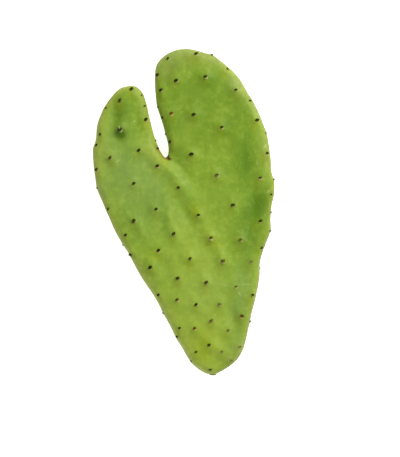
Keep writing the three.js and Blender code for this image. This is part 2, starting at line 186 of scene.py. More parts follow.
BACK_STRENGTH = 0.4  # of the bloom, deep-and-shade, olive and pale-and-lit patches on the back
FACE_TURN = 4  # how fast the skin goes over from its front to its back colours
BLOOM_PATCHES = [  # thin grey wax
    ((-48, 30), 44, 22, -62, 0.7),
    ((-24, 28), 24, 8, -72, 0.4),
    ((-13, 129), 9, 7, 0, 1.0),
    ((26, 132), 9, 6, -25, 0.9),
    ((46, 110), 9, 7, -60, 1.0),
    ((72, 54), 12, 5, -80, 0.45),
    ((65, 86), 16, 5, -62, 0.8),
    ((50, -72), 30, 9, 80, 0.5),
    ((20, -70), 30, 24, 80, 0.3),
    ((-71, 18), 9, 6, -70, 0.6),
    ((47, -119), 12, 6, 70, 0.9),
    ((9, -131), 14, 4, -40, 0.5),
    ((4, 137), 18, 4, -4, 1.1),
    ((-24, -72), 40, 4, -61, 0.3),
]
DEEP_AND_SHADE_PATCHES = [  # dark, fuller green, and painted shade in hollows and on shaded walls
    # this and the next: painted shade of the hollow along the right side
    ((69, 8), 14, 11, 88, 1.25),
    ((57, 2), 11, 8, 80, 0.3),
    ((54, 44), 22, 9, 88, 1.35),
    ((37, 71), 12, 9, 60, 0.7),
    ((57, -24), 10, 6, 70, 0.6),
    ((70, -9), 10, 6, 80, 0.35),
    ((66, -32), 12, 7, 78, 0.45),
    ((54, -10), 20, 13, 70, 0.8),
    ((20, 92), 46, 28, 72, 0.5),
    ((17, 110), 9, 8, 0, 0.5),
    # painted shade on the right lobe's flank by the notch
    ((-14.5, 115), 14, 6, 85, 0.7),
    ((-8, 126), 9, 6, 20, 0.4),
    ((10, 128), 7, 5, 0, 0.25),
    # painted shade on the notch's wall that faces away from the light
    ((-18, 84), 26, 5, -73, 0.3),
    ((-8, 53), 7, 6, 0, 0.8),
    # this and the next: painted shade in the left lobe's hollows
    ((-54, 84), 17, 7, 86, 1.1),
    ((-54, 66), 6, 5, 0, 2.2),
    ((-36, 80), 20, 5, -75, 0.5),
    ((47, -94), 24, 8, 76, 0.55),
    ((52, -48), 14, 7, 72, 0.4),
    ((47, 92), 18, 9, -62, 0.7),
    ((-38, 48), 11, 3.5, -50, 0.35),
]
OLIVE_PATCHES = [  # yellower skin
    ((18, -115), 16, 8, 86, 1.0),
    ((16, -88), 40, 26, 84, 0.2),
    ((11, 1), 7, 6, 0, 0.9),
    ((27, -27), 12, 6, -55, 0.7),
    ((6, -43), 6, 6, 0, 0.6),
    ((-24, -38), 9, 7, -60, 0.5),
    ((-28, 72), 12, 5, -72, 0.6),
    ((-17, 44), 8, 3.5, -44, 1.1),
    ((32, 60), 40, 30, 70, 0.12),
]
PALE_AND_LIT_PATCHES = [  # paler, younger-looking green, and painted light on slopes and edges
    # this and the next two: painted light where the upper right rim curves towards the light
    ((22, 130), 14, 6, -28, 0.9),
    ((47, 108), 13, 6, -52, 1.2),
    ((66, 84), 16, 5, -64, 0.8),
    ((74, 54), 14, 4, -82, 0.15),
    ((-4, 135), 14, 5, 5, 0.45),
    ((-73, 47), 26, 6, 86, 0.6),
    ((10, -54), 50, 30, 86, 0.8),
    ((26, -118), 34, 20, 70, 0.95),
    ((-6, -96), 30, 10, -62, 0.4),
    ((-68, 60), 24, 7, 84, 0.4),
    ((10, 52), 9, 8, 0, 0.4),
    # painted light against the shade of the base's lower left edge
    ((9, -132), 14, 4, -40, 1.8),
    ((18, -118), 12, 9, 80, 0.3),
    # painted light on the left lobe's edge by the notch, which faces the light
    ((-29.5, 52), 11, 5.5, -50, 1.0),
    ((69, 33), 13, 4, 86, 0.15),
    # painted light against the shade of the lower left edge
    ((3, -121), 16, 4, -57, 1.8),
    ((2, 64), 11, 7, 60, 0.65),
    ((4, 98), 12, 4, 86, 0.3),
    ((-61, 72), 8, 4, 80, 0.4),
    ((-3, -14), 14, 5, -65, 0.5),
    ((-20, 43), 14, 5, -46, 0.55),
    ((-24, -72), 40, 4, -61, 0.4),
    ((41, 118), 9, 5, -50, 0.9),
]
BROWN_PATCHES = [  # skin that is turning brown
    ((-13, 119), 9, 6, 80, 0.55),
    ((4, 130), 15, 7, -5, 0.45),
    ((22, 134), 9, 5, -20, 0.5),
    ((48, 106), 8, 5, -55, 0.4),
    ((71, 46), 9, 4, -80, 0.5),
    ((-33, -50), 9, 7, -60, 0.15),
    ((-76, 48), 14, 4, 88, 0.4),
    ((44, -122), 9, 6, 50, 0.4),
    ((6, -124), 10, 6, -50, 0.2),
]
RIM_REACH = 5  # width of the paler rim, partly painted light
RIM_FALL = 1.5  # the higher, the steeper its inner edge
RIM_LIGHT_REACH = 3.5
LIP_REACH = 2  # width of the dry line along its edge
SHADED_RIM_PATCHES = [  # where the rim is shaded and keeps the face's green: painted shade
    ((-18, 90), 45, 9, 101.5, 0.9),
    ((77, -1), 18, 6, 90, 0.5),
    ((75, 42), 14, 7, 96, 0.5),
    ((68, -34), 14, 7, 78, 0.6),
]
RIM_LIGHT_PATCHES = [  # painted light that makes the rim paler still, on edges turned from the lamps
    ((-73, 52), 44, 12, 86, 0.65),
    ((-54, 108), 14, 8, 20, 0.7),
    ((-30, -66), 62, 12, -60, 0.7),
    ((10, -132), 16, 12, -42, 1.1),
    ((-24, 124), 11, 7, 75, 0.9),
]
SOUND_LIP_PATCHES = [  # where the edge has no dry line
    ((-20, 70), 34, 12, 100, 1.0),
]
NOTCH_PATCHES = [  # the cracked, rusty edge at the bottom of the notch
    ((-22.3, 54), 3, 0.9, -62, 1.0),
    ((-18.6, 49.1), 4, 0.8, -48, 1.0),
    ((-14.6, 45.8), 3.5, 0.8, -16, 1.1),
]
NOTCH_TIP = [  # and the nearly black ends of that edge
    ((-22.4, 54), 1.2, 0.8, -62, 1.0),
    ((-12, 45.3), 2, 1.2, -20, 1.3),
]
PALE_MARKS_AND_GLINTS = [  # healed scratches and nicks, and painted glints: middle, half length, half width, turn, strength
    ((51.8, -62.2), 10, 0.5, -1, 0.3),
    ((36, -62.6), 8, 0.5, -12, 0.35),
    ((14, -19.8), 8, 0.5, -9, 0.25),
    ((-42, 77), 2.4, 0.6, 35, 0.7),
    ((-56, 43), 2.2, 0.7, 30, 0.7),
    ((-9, -57), 2.6, 0.6, 70, 0.5),
    ((48, -70), 2.6, 0.8, -55, 0.6),
    # the last three: painted glints on the right rim
    ((70.3, 56), 2.4, 1, 75, 0.6),
    ((73, 17.5), 2, 0.9, 60, 0.6),
    ((63.2, 41.5), 3.5, 0.7, -75, 0.3),
]
RUSTY_AREOLES = [(-10, 84), (10, -99), (50, -89)]
PALE_AREOLES = [  # with paler wool
    (29, 31), (34, -42), (58, -43), (45, -64), (59, -71), (67, 29), (31, -79),
    (24, -93), (38, -101), (33, -119), (41, -126), (48, -115), (-62, 46),
]


# ---- Margin and areoles ---------------------------------------------------------------

MARGIN_POINTS = 600
STOP_STEPS = 24  # from one stop of the outline to the next
NORMAL_SPAN = 4  # length of margin that each outward direction is averaged over


def curve_point(stops, leg, t, closed=False):
    """Point and direction on a smooth curve, at share t of the way from one stop to the next."""

    def stop(k):
        if closed:
            return np.array(stops[k % len(stops)], float)
        if k < 0:
            return 2 * stop(0) - stop(1)
        if k >= len(stops):
            return 2 * stop(len(stops) - 1) - stop(len(stops) - 2)
        return np.array(stops[k], float)

    p0, p1, p2, p3 = (stop(leg + k) for k in (-1, 0, 1, 2))
    d0, d1, d2 = (math.sqrt(np.linalg.norm(b - a)) for a, b in ((p0, p1), (p1, p2), (p2, p3)))
    leaving = ((p1 - p0) / d0 - (p2 - p0) / (d0 + d1) + (p2 - p1) / d1) * d1
    arriving = ((p2 - p1) / d1 - (p3 - p1) / (d1 + d2) + (p3 - p2) / d2) * d1
    cubic = 2 * p1 - 2 * p2 + leaving + arriving
    square = -3 * p1 + 3 * p2 - 2 * leaving - arriving
    point = cubic * t**3 + square * t**2 + leaving * t + p1
    return point, 3 * cubic * t**2 + 2 * square * t + leaving


def trace_margin(count):
    """Evenly spaced points of the margin with their outward directions, and its length."""
    raw = np.array([
        curve_point(OUTLINE, leg, k / STOP_STEPS, closed=True)[0]
        for leg in range(len(OUTLINE))
        for k in range(STOP_STEPS)
    ])
    loop = np.vstack([raw, raw[:1]])
    reach = np.concatenate([[0], np.cumsum(np.linalg.norm(np.diff(loop, axis=0), axis=1))])
    along = np.arange(count) / count * reach[-1]
    points = np.stack([np.interp(along, reach, loop[:, axis]) for axis in (0, 1)], axis=1)
    span = max(1, round(NORMAL_SPAN / reach[-1] * count))
    chord = np.roll(points, -span, axis=0) - np.roll(points, span, axis=0)
    out = np.stack([chord[:, 1], -chord[:, 0]], axis=1)
    out /= np.linalg.norm(out, axis=1)[:, None]
    push = sum(
        MARGIN_BUMP * np.exp(-(((along - a) / MARGIN_BUMP_REACH) ** 2)) for a in MARGIN_AREOLES
    )
    return points + out * push[:, None], out, reach[-1]


MARGIN, MARGIN_OUT, MARGIN_LENGTH = trace_margin(MARGIN_POINTS)


def margin_distances(x, y):
    """Distance of each point to every second point of the margin, one row to a point."""
    spots = MARGIN[::2]
    return np.hypot(np.subtract.outer(x, spots[:, 0]), np.subtract.outer(y, spots[:, 1]))


def inside_margin(x, y):
    """Counts how often a line from the point to the right crosses the margin: odd is inside."""
    ends = np.roll(MARGIN, -1, axis=0)
    inside = False
    for (ax, ay), (bx, by) in zip(MARGIN, ends):
        if (ay > y) != (by > y) and x < (bx - ax) * (y - ay) / (by - ay) + ax:
            inside = not inside
    return inside


def seeded_random(seed):
    """The same draws as the solid's, so that both have their back areoles in one place."""
    word = 0xFFFFFFFF
    state = seed
    while True:
        state = (state + 0x6D2B79F5) & word
        t = ((state ^ (state >> 15)) * (1 | state)) & word
        t = ((t + (((t ^ (t >> 7)) * (61 | t)) & word)) & word) ^ t
        yield (t ^ (t >> 14)) / 4294967296


def face_areoles(side):
    """Areoles of the front (side 1) or back (side -1) face, row by row."""
    draw = seeded_random(SEED + side)
    found = []
    for stops, steps in AREOLE_ROWS:
        for leg, count in enumerate(steps):
            last = leg == len(steps) - 1
            for k in range(count + last):
                (x, y), way = curve_point(stops, leg, k / count)
                shake = [(2 * next(draw) - 1) * ROW_JITTER for _ in "xy"]
                size = AREOLE_SIZES[0] + AREOLE_SIZES[1] * next(draw)
                if side < 0:
                    x += BACK_ROW_SHIFT[0] + shake[0]
                    y += BACK_ROW_SHIFT[1] + shake[1]
                    crowded = any(math.hypot(a["x"] - x, a["y"] - y) < ROW_SPACING_MIN for a in found)
                    near = margin_distances(np.array([x]), np.array([y])).min() < FACE_EDGE_MIN
                    if crowded or near or not inside_margin(x, y):
                        continue
                way = way / np.linalg.norm(way)
                found.append({"x": x, "y": y, "way": way, "size": size})
    return found


FRONT_AREOLES = face_areoles(1)
BACK_AREOLES = face_areoles(-1)


# ---- Surface heights ------------------------------------------------------------------

def swell(dx, dy, way, along, across):
    """An oval rise of height 1 with a soft edge."""
    s = (dx * way[0] + dy * way[1]) / along
    c = (dy * way[0] - dx * way[1]) / across
    return np.exp(-(s * s + c * c))


def patches(x, y, listed):
    """The listed oval patches, each as strong as its rise, added up."""
    total = np.zeros_like(x)
    for at, along, across, turn, rise in listed:
        way = (math.cos(math.radians(turn)), math.sin(math.radians(turn)))
        total += rise * swell(x - at[0], y - at[1], way, along, across)
    return total


def swellings(x, y, areoles):
    """The swellings under the areoles, added up."""
    total = np.zeros_like(x)
    for a in areoles:
        rise = swell(x - a["x"], y - a["y"], a["way"], SWELLING_ALONG, SWELLING_ACROSS)
        total += a["size"] * rise
    return total


def under_areoles(x, y, areoles):
    """Marks yellower skin and painted shade just below each areole, on the side of the pad's base."""
    total = np.zeros_like(x)
    for a in areoles:
        away = np.array([a["x"] - GROWTH_ROOT[0], a["y"] - GROWTH_ROOT[1]])
        away /= np.linalg.norm(away)
        left, below = UNDER_SHIFT
        dx = x - a["x"] + below * away[0] + left
        dy = y - a["y"] + below * away[1]
        total += a["size"] * swell(dx, dy, away, UNDER_ALONG, UNDER_ACROSS)
    return total


def full_half_thickness(y):
    """Half the pad's thickness without its crown, less towards the tips."""
    t = np.clip(y / LENGTH + 0.5, 0, 1)
    t = t * t * (3 - 2 * t)
    return HALF_THICKNESS_BASE + (HALF_THICKNESS_TIP - HALF_THICKNESS_BASE) * t


def lift(x, y):
    """How far the middle of the pad curls up from the surface that it rests on."""
    u = (x - REST_POINT[0]) / LIFT_REACH[0]
    v = (y - REST_POINT[1]) / LIFT_REACH[1]
    return END_LIFT * v * v + SIDE_LIFT * u * u + TWIST_LIFT * u * v


def middle_height(x, y):
    """Height halfway between the back and the front."""
    return full_half_thickness(y) - REST_PRESS + lift(x, y)


# ---- Modelling helpers ----------------------------------------------------------------

def deselect():
    bpy.ops.object.select_all(action="DESELECT")


def make_active(piece):
    deselect()
    piece.select_set(True)
    bpy.context.view_layer.objects.active = piece


def apply_modifier(piece, kind, **settings):
    make_active(piece)
    modifier = piece.modifiers.new(kind.title(), kind)
    for name, value in settings.items():
        setattr(modifier, name, value)
    bpy.ops.object.modifier_apply(modifier=modifier.name)


def read_points(piece):
    points = np.empty(len(piece.data.vertices) * 3)
    piece.data.vertices.foreach_get("co", points)
    return points.reshape(-1, 3)


def write_points(piece, points):
    piece.data.vertices.foreach_set("co", points.astype(np.float32).ravel())
    piece.data.update()


def write_attribute(piece, name, values):
    attribute = piece.data.attributes.new(name, "FLOAT", "POINT")
    attribute.data.foreach_set("value", np.asarray(values, np.float32))


def smooth_shading(piece):
    make_active(piece)
    bpy.ops.object.shade_smooth()


# ---- Skin -----------------------------------------------------------------------------

SLAB_HALF = 8.0  # half height of the blocked-out slab
SLAB_BEVEL = 0.98  # share of it that the edge is rounded over
SKIN_GRAIN = 1.1  # size of the skin's faces


def block_out_skin():
    """A slab of even thickness inside the margin, with a round edge."""
    deselect()
    bpy.ops.mesh.primitive_circle_add(vertices=len(MARGIN) // 2, radius=0.1, fill_type="NGON")
    skin = bpy.context.object
    skin.name = "pad_skin"
    spots = MARGIN[::2] * MM
    write_points(skin, np.column_stack([spots, np.full(len(spots), -SLAB_HALF * MM)]))
    bpy.ops.object.mode_set(mode="EDIT")
    bpy.ops.mesh.select_all(action="SELECT")
    bpy.ops.mesh.extrude_region_move(TRANSFORM_OT_translate={"value": (0, 0, 2 * SLAB_HALF * MM)})
    bpy.ops.mesh.select_all(action="SELECT")
    bpy.ops.mesh.normals_make_consistent(inside=False)
    bpy.ops.mesh.select_mode(type="EDGE")
    bpy.ops.mesh.select_all(action="DESELECT")
    mesh = bmesh.from_edit_mesh(skin.data)
    for edge in mesh.edges:
        edge.select = edge.verts[0].co.z * edge.verts[1].co.z > 0  # all but the upright ones
    bmesh.update_edit_mesh(skin.data)
    round_over = SLAB_BEVEL * SLAB_HALF * MM
    bpy.ops.mesh.bevel(
        offset=round_over, segments=7, profile=0.5, affect="EDGES", clamp_overlap=False
    )
    bpy.ops.object.mode_set(mode="OBJECT")
    apply_modifier(skin, "REMESH", mode="VOXEL", voxel_size=SKIN_GRAIN * MM, adaptivity=0)
    apply_modifier(skin, "SMOOTH", factor=0.5, iterations=6)
    return skin


def shape_skin(skin):
    """Gives the slab its thickness, its lift and its swellings, and notes what colours it."""
    points = read_points(skin) / MM
    x, y, z = points.T
    y = y - patches(x, y, NOTCH_FLOOR)
    share = np.clip(z / SLAB_HALF, -1, 1)
    front = share > 0
    round_share = share * share
    gaps = margin_distances(x, y)
    soft = np.maximum(0, -SOFTNESS * np.log(np.exp(-gaps / SOFTNESS).sum(axis=1)))
    crown = 1 - CROWN * np.exp(-soft / CROWN_REACH)

    bumps = np.where(front, swellings(x, y, FRONT_AREOLES), swellings(x, y, BACK_AREOLES))
    broad = np.where(front, patches(x, y, FRONT_SWELLS), 0)
    free = np.where(front, 1, np.minimum(1, lift(x, y) / BELLY_RISE))
    relief = (SWELLING_RISE * bumps + broad) * round_share * free
    height = middle_height(x, y) + share * full_half_thickness(y) * crown + np.sign(share) * relief
    height = (height + np.sqrt(height**2 + PRESS_SOFTNESS**2)) / 2 - PRESS_SOFTNESS / 2
    write_points(skin, np.column_stack([x, np.maximum(y, BASE_SCAR_Y), np.maximum(height, 0)]) * MM)

    near = gaps.min(axis=1)
    # the paler rim, partly painted light, left off where the rim is shaded
    pale_lit_rim = np.exp(-((near / RIM_REACH) ** RIM_FALL)) * (1 - patches(x, y, SHADED_RIM_PATCHES))
    write_attribute(skin, "pale_lit_rim", pale_lit_rim)
    # painted rim light, on the edges turned from the lamps
    painted_rim_light = np.exp(-((near / RIM_LIGHT_REACH) ** 2)) * patches(x, y, RIM_LIGHT_PATCHES)
    write_attribute(skin, "painted_rim_light", painted_rim_light)
    dry = np.exp(-((near / LIP_REACH) ** 2)) * np.clip(1 - patches(x, y, SOUND_LIP_PATCHES), 0, 1)
    write_attribute(skin, "lip", dry)
    write_attribute(skin, "brown", patches(x, y, BROWN_PATCHES))
    write_attribute(skin, "notch", patches(x, y, NOTCH_PATCHES))
    write_attribute(skin, "notch_tip", patches(x, y, NOTCH_TIP))
    write_attribute(skin, "under", np.where(front, under_areoles(x, y, FRONT_AREOLES), 0))
    facing = np.clip(share * FACE_TURN, 0, 1)
    strength = BACK_STRENGTH + (1 - BACK_STRENGTH) * facing
    write_attribute(skin, "front", facing)
    write_attribute(skin, "bloom", patches(x, y, BLOOM_PATCHES) * strength)
    write_attribute(skin, "deep_and_shade", patches(x, y, DEEP_AND_SHADE_PATCHES) * strength)
    write_attribute(skin, "olive", patches(x, y, OLIVE_PATCHES) * strength)
    write_attribute(skin, "pale_and_lit", patches(x, y, PALE_AND_LIT_PATCHES) * strength)
    smooth_shading(skin)


def model_skin():
    skin = block_out_skin()
    shape_skin(skin)
    return skin


# ---- Parts of an areole, each modelled once -------------------------------------------

WOOL_SIZE = (1.75, 1.3, 0.6)  # half lengths of the cushion
WOOL_TOUSLE = 0.16
LEAF_SCAR_SIZE = (1.6, 0.62, 0.28)
LEAF_SCAR_BEND = 0.34  # of the crescent, towards the areole's upper side
LEAF_SCAR_DROP = 1.6  # from the middle of the areole
LEAF_SCAR_TOUSLE = 0.09
BRISTLE_RADIUS = 0.1
BRISTLE_ROOT = 0.35  # height in the cushion that the bristles start from
BRISTLE_LENGTHS = (0.7, 1.5)
TUFT_REACH = (1.3, 0.95)  # half width and half height of the tuft's foot
TUFT_SHIFT = 0.1  # towards the areole's upper side
FULL_TUFT = 110  # bristles
TUFTS = [(7, FULL_TUFT), (8, 50), (9, 90), (10, FULL_TUFT), (11, 70)]  # seeds and bristles
BARE_SHIFT = 0.7  # how far up, off its cushion's lower half, the sparsest tuft would move
TUFT_SPLAY = (0.55, 0.5)  # how much the outer bristles lean outwards
TUFT_LEAN = 0.2  # towards the areole's upper side
MIDDLE_STRETCH = 1.15  # of a bristle in the middle of its tuft
EDGE_SHORTENING = 0.35


def scale_in_edit_mode(size):
    bpy.ops.object.mode_set(mode="EDIT")
    bpy.ops.mesh.select_all(action="SELECT")
    bpy.ops.transform.resize(value=[side * MM for side in size])
    bpy.ops.object.mode_set(mode="OBJECT")


def tousle_in_edit_mode(offset, seed):
    bpy.ops.object.mode_set(mode="EDIT")
    bpy.ops.mesh.select_all(action="SELECT")
    bpy.ops.transform.vertex_random(offset=offset * MM, uniform=0.4, normal=0.5, seed=seed)
    bpy.ops.object.mode_set(mode="OBJECT")


def model_wool(seed):
    """The woolly cushion: a low oval dome with a tousled top."""
    deselect()
    bpy.ops.mesh.primitive_uv_sphere_add(segments=14, ring_count=8, radius=1)
    wool = bpy.context.object
    scale_in_edit_mode(WOOL_SIZE)
    tousle_in_edit_mode(WOOL_TOUSLE, seed)
    return wool


def model_leaf_scar(seed):
    """The pale crescent that the fallen leaf leaves on the lower side of an areole."""
    deselect()
    bpy.ops.mesh.primitive_uv_sphere_add(segments=16, ring_count=8, radius=1)
    scar = bpy.context.object
    scale_in_edit_mode(LEAF_SCAR_SIZE)
    points = read_points(scar) / MM
    points[:, 1] += LEAF_SCAR_BEND * points[:, 0] ** 2 - LEAF_SCAR_DROP
    write_points(scar, points * MM)
    tousle_in_edit_mode(LEAF_SCAR_TOUSLE, seed)
    return scar


def model_bristle(sides, radius, length, bow):
    """One pointed bristle that stands on the origin and bows over a little."""
    deselect()
    bpy.ops.mesh.primitive_cone_add(vertices=sides, radius1=radius * MM, depth=length * MM)
    bristle = bpy.context.object
    bpy.ops.object.mode_set(mode="EDIT")
    bpy.ops.mesh.select_all(action="SELECT")
    bpy.ops.mesh.subdivide(number_cuts=1)
    bpy.ops.transform.translate(value=(0, 0, length / 2 * MM))
    bpy.ops.object.mode_set(mode="OBJECT")
    points = read_points(bristle) / MM
    points[:, 1] += bow * (points[:, 2] / length) ** 2
    write_points(bristle, points * MM)
    return bristle


def join(pieces, name):
    deselect()
    for piece in pieces:
        piece.select_set(True)
    bpy.context.view_layer.objects.active = pieces[0]
    bpy.ops.object.join()
    joined = bpy.context.object
    joined.name = name
    bpy.ops.object.transform_apply(location=True, rotation=True, scale=True)
    return joined


def copy_to(template, place):
    copy = template.copy()
    copy.data = template.data.copy()
    bpy.context.scene.collection.objects.link(copy)
    copy.matrix_world = place
    return copy


def remove(piece):
    bpy.data.objects.remove(piece)


def model_tuft(seed, count):
    """A tuft of short bristles on a cushion; a sparse tuft leaves the lower half bare."""
    draw = random.Random(seed)
    bristle = model_bristle(sides=3, radius=BRISTLE_RADIUS, length=1.0, bow=0)
    bare = BARE_SHIFT * (1 - count / FULL_TUFT)
    copies = []
    for _ in range(count):
        reach = math.sqrt(draw.random())
        angle = draw.uniform(0, 2 * math.pi)
        x = TUFT_REACH[0] * reach * math.cos(angle)
        y = (TUFT_REACH[1] - bare / 2) * reach * math.sin(angle) + TUFT_SHIFT + bare
        way = Vector((TUFT_SPLAY[0] * x, TUFT_SPLAY[1] * y + TUFT_LEAN, 1))
        splay = way.to_track_quat("Z", "Y").to_matrix().to_4x4()
        length = draw.uniform(*BRISTLE_LENGTHS) * (MIDDLE_STRETCH - EDGE_SHORTENING * reach)
        size = Matrix.Diagonal((1, 1, length, 1))
        spin = Matrix.Rotation(draw.uniform(0, 2 * math.pi), 4, "Z")
        place = Matrix.Translation(Vector((x, y, BRISTLE_ROOT)) * MM) @ splay @ size @ spin
        copies.append(copy_to(bristle, place))
    tuft = join(copies, "tuft")
    remove(bristle)
    return tuft


# ---- Areoles on the skin --------------------------------------------------------------

UPPER_MIN = 0.2  # any shorter, and the skin faces along the growth


def grow_frame(place, normal, size):
    """A frame on the skin: Z stands out of it and Y points to the areole's upper side."""
    root = Vector((GROWTH_ROOT[0], GROWTH_ROOT[1], place.z / MM)) * MM
    growth = (place - root).normalized()
    upper = growth - normal * growth.dot(normal)
    if upper.length < UPPER_MIN:
        upper = Vector((0, 0, 1)) - normal * normal.z
    upper.normalize()
    across = upper.cross(normal)
    turn = Matrix((across, upper, normal)).transposed().to_4x4()
    return Matrix.Translation(place) @ turn @ Matrix.Scale(size, 4)


YOUNG_END = (-124, -84)  # towards the base the areoles are smaller
YOUNG_SIZE = (0.74, 1)
EVEN_SIZE = 0.25  # part of an areole's size that doesn't follow its swelling's
MARGIN_AREOLE_SIZE = 0.85
MARGIN_AREOLE_SINK = 0.4
RAY_START = 100  # height over or under the pad


def areole_frames(skin):
    """Frames of all the areoles: both faces, then the margin."""
    frames = []
    for side, areoles in ((1, FRONT_AREOLES), (-1, BACK_AREOLES)):
        for a in areoles:
            start = Vector((a["x"] * MM, a["y"] * MM, side * RAY_START * MM))
            hit, place, normal, _ = skin.ray_cast(start, Vector((0, 0, -side)))
            if hit:
                size = EVEN_SIZE + (1 - EVEN_SIZE) * a["size"]
                if side > 0:
                    size *= np.interp(a["y"], YOUNG_END, YOUNG_SIZE)
                frames.append((grow_frame(place, normal, size), a))
    for along, rise in MARGIN_AREOLES.items():
        i = round(along / MARGIN_LENGTH * len(MARGIN)) % len(MARGIN)
        x, y = MARGIN[i] - MARGIN_OUT[i] * RIM_ROUND
        turn = math.radians(rise)
        ray = Vector((*MARGIN_OUT[i] * math.cos(turn), math.sin(turn)))
        middle = Vector((x, y, middle_height(x, y))) * MM
        hit, place, normal, _ = skin.ray_cast(middle + ray * 2 * RIM_ROUND * MM, -ray)
        if hit:
            sunk = place - normal * MARGIN_AREOLE_SINK * MM
            spot = {"x": place.x / MM, "y": place.y / MM, "size": 1}
            frames.append((grow_frame(sunk, normal, MARGIN_AREOLE_SIZE), spot))
    return frames


AREOLE_SLANT = math.radians(24)  # the long way of an areole runs up to the right
COPY_SIZES = (0.88, 1.12)  # smallest and largest
SAME_AREOLE = 3  # closer than this to a listed place, it is the areole that is meant
RUSTY_KIND = 4  # of the copied parts, the one that a rusty areole gets


def tousle(place, draw, turn):
    """Turns a frame about its own upright by up to so many radians, and resizes it a little."""
    spin = Matrix.Rotation(AREOLE_SLANT + draw.uniform(-turn, turn), 4, "Z")
    return place @ spin @ Matrix.Scale(draw.uniform(*COPY_SIZES), 4)


def near_any(areole, spots):
    """Whether the areole is one of those that are listed by their places."""
    return any(math.dist((areole["x"], areole["y"]), spot) < SAME_AREOLE for spot in spots)


def plant(templates, frames, name, seed, turn=0.35):
    """Copies the templates onto the frames, one after the other, and joins the copies."""
    draw = random.Random(seed)
    copies = []
    for k, (place, areole) in enumerate(frames):
        rusty = near_any(areole, RUSTY_AREOLES)
        kind = (RUSTY_KIND if rusty else k) % len(templates)
        copy = copy_to(templates[kind], tousle(place, draw, turn))
        count = len(copy.data.vertices)
        write_attribute(copy, "tint", [draw.random()] * count)
        write_attribute(copy, "rust", [rusty] * count)
        write_attribute(copy, "pale", [near_any(areole, PALE_AREOLES)] * count)
        copies.append(copy)
    piece = join(copies, name)
    for template in templates:
        remove(template)
    points = read_points(piece)
    points[:, 2] = np.maximum(points[:, 2], 0)  # what meets the floor is pressed flat
    write_points(piece, points)
    return piece


SPINE_TIP = -52  # degrees from the upright, towards the areole's upper side
SPINE_TURN = -16  # degrees about the upright, after it is tipped
SPINE_ROOT = 0.4  # height in the cushion that it starts from


def model_spine(frames):
    """The pale spine of the one areole that keeps it, standing up from its cushion."""
    place = min(frames, key=lambda f: math.dist((f[1]["x"], f[1]["y"]), SPINY_AREOLE))[0]
    spine = model_bristle(sides=6, radius=0.34, length=5.2, bow=0.8)
    tip = Matrix.Rotation(math.radians(SPINE_TIP), 4, "X")
    turn = Matrix.Rotation(math.radians(SPINE_TURN), 4, "Z")
    root = Matrix.Translation(Vector((0, 0, SPINE_ROOT)) * MM)
    spine.matrix_world = place @ root @ (turn @ tip)
    return join([spine], "pale_spine")


# ---- Cut at the base ------------------------------------------------------------------

BASE_SCAR_X = 25.5
BASE_SCAR_SIZE = (3.2, 2.6)  # half width and half height
BASE_SCAR_DEPTH = 0.9
BASE_SCAR_SET = 0.3  # how far inside the cut its back lies
BASE_SCAR_LIP = 0.6
BASE_SCAR_SINK = 0.4  # of its face inside the lip
BASE_SCAR_CORE = (0.8, 0.15)  # inset and rise of the middle
BASE_SCAR_TOUSLE = 0.14


def model_base_scar():
    """The corky oval where the pad was cut from the one below it."""
    deselect()
    bpy.ops.mesh.primitive_circle_add(vertices=40, radius=1, fill_type="NGON")
    scar = bpy.context.object
    scar.name = "base_scar"
    back = BASE_SCAR_Y + BASE_SCAR_SET
    middle = Vector((BASE_SCAR_X, back, float(middle_height(BASE_SCAR_X, back)))) * MM
    core_inset, core_rise = BASE_SCAR_CORE
    bpy.ops.object.mode_set(mode="EDIT")
    bpy.ops.mesh.select_all(action="SELECT")
    bpy.ops.transform.resize(value=(BASE_SCAR_SIZE[0] * MM, BASE_SCAR_SIZE[1] * MM, MM))
    bpy.ops.mesh.extrude_region_move(TRANSFORM_OT_translate={"value": (0, 0, BASE_SCAR_DEPTH * MM)})
    bpy.ops.mesh.inset(thickness=BASE_SCAR_LIP * MM)
    bpy.ops.transform.translate(value=(0, 0, -BASE_SCAR_SINK * MM))
    bpy.ops.mesh.inset(thickness=core_inset * MM)
    bpy.ops.transform.translate(value=(0, 0, core_rise * MM))
    bpy.ops.mesh.poke()
    bpy.ops.mesh.select_all(action="SELECT")
    bpy.ops.transform.vertex_random(
        offset=BASE_SCAR_TOUSLE * MM, uniform=0.3, normal=0.5, seed=4
    )
    bpy.ops.mesh.normals_make_consistent(inside=False)
    bpy.ops.object.mode_set(mode="OBJECT")
    scar.matrix_world = Matrix.Translation(middle) @ Matrix.Rotation(math.radians(90), 4, "X")
    make_active(scar)
    bpy.ops.object.transform_apply(location=True, rotation=True, scale=True)
    apply_modifier(scar, "SUBSURF", levels=1, render_levels=1)
    return scar


# ---- Finishes -------------------------------------------------------------------------

def srgb(red, green, blue):
    """A colour given as on a screen, 0 to 255, in the numbers that shaders use."""
    shares = [channel / 255 for channel in (red, green, blue)]
    linear = [c / 12.92 if c <= 0.04045 else ((c + 0.055) / 1.055) ** 2.4 for c in shares]
    return (*linear, 1)


class Value:
    """A socket that arithmetic can be done on; each operation adds a Math node."""

    def __init__(self, finish, socket):
        self.finish = finish
        self.socket = socket

    def _math(self, operation, *values):
        return self.finish.node("ShaderNodeMath", {"operation": operation}, dict(enumerate(values)))

    def __add__(self, other):
        return self._math("ADD", self, other)

    __radd__ = __add__

    def __sub__(self, other):
        return self._math("SUBTRACT", self, other)

    def __rsub__(self, other):
        return self._math("SUBTRACT", other, self)

    def __mul__(self, other):
        return self._math("MULTIPLY", self, other)

    __rmul__ = __mul__

    def clamp(self):
        return self.finish.node("ShaderNodeClamp", {}, {"Value": self})


MIX_COLOUR_SOCKETS = (0, 6, 7, 2)  # a Mix node's factor, its two colours and its colour output


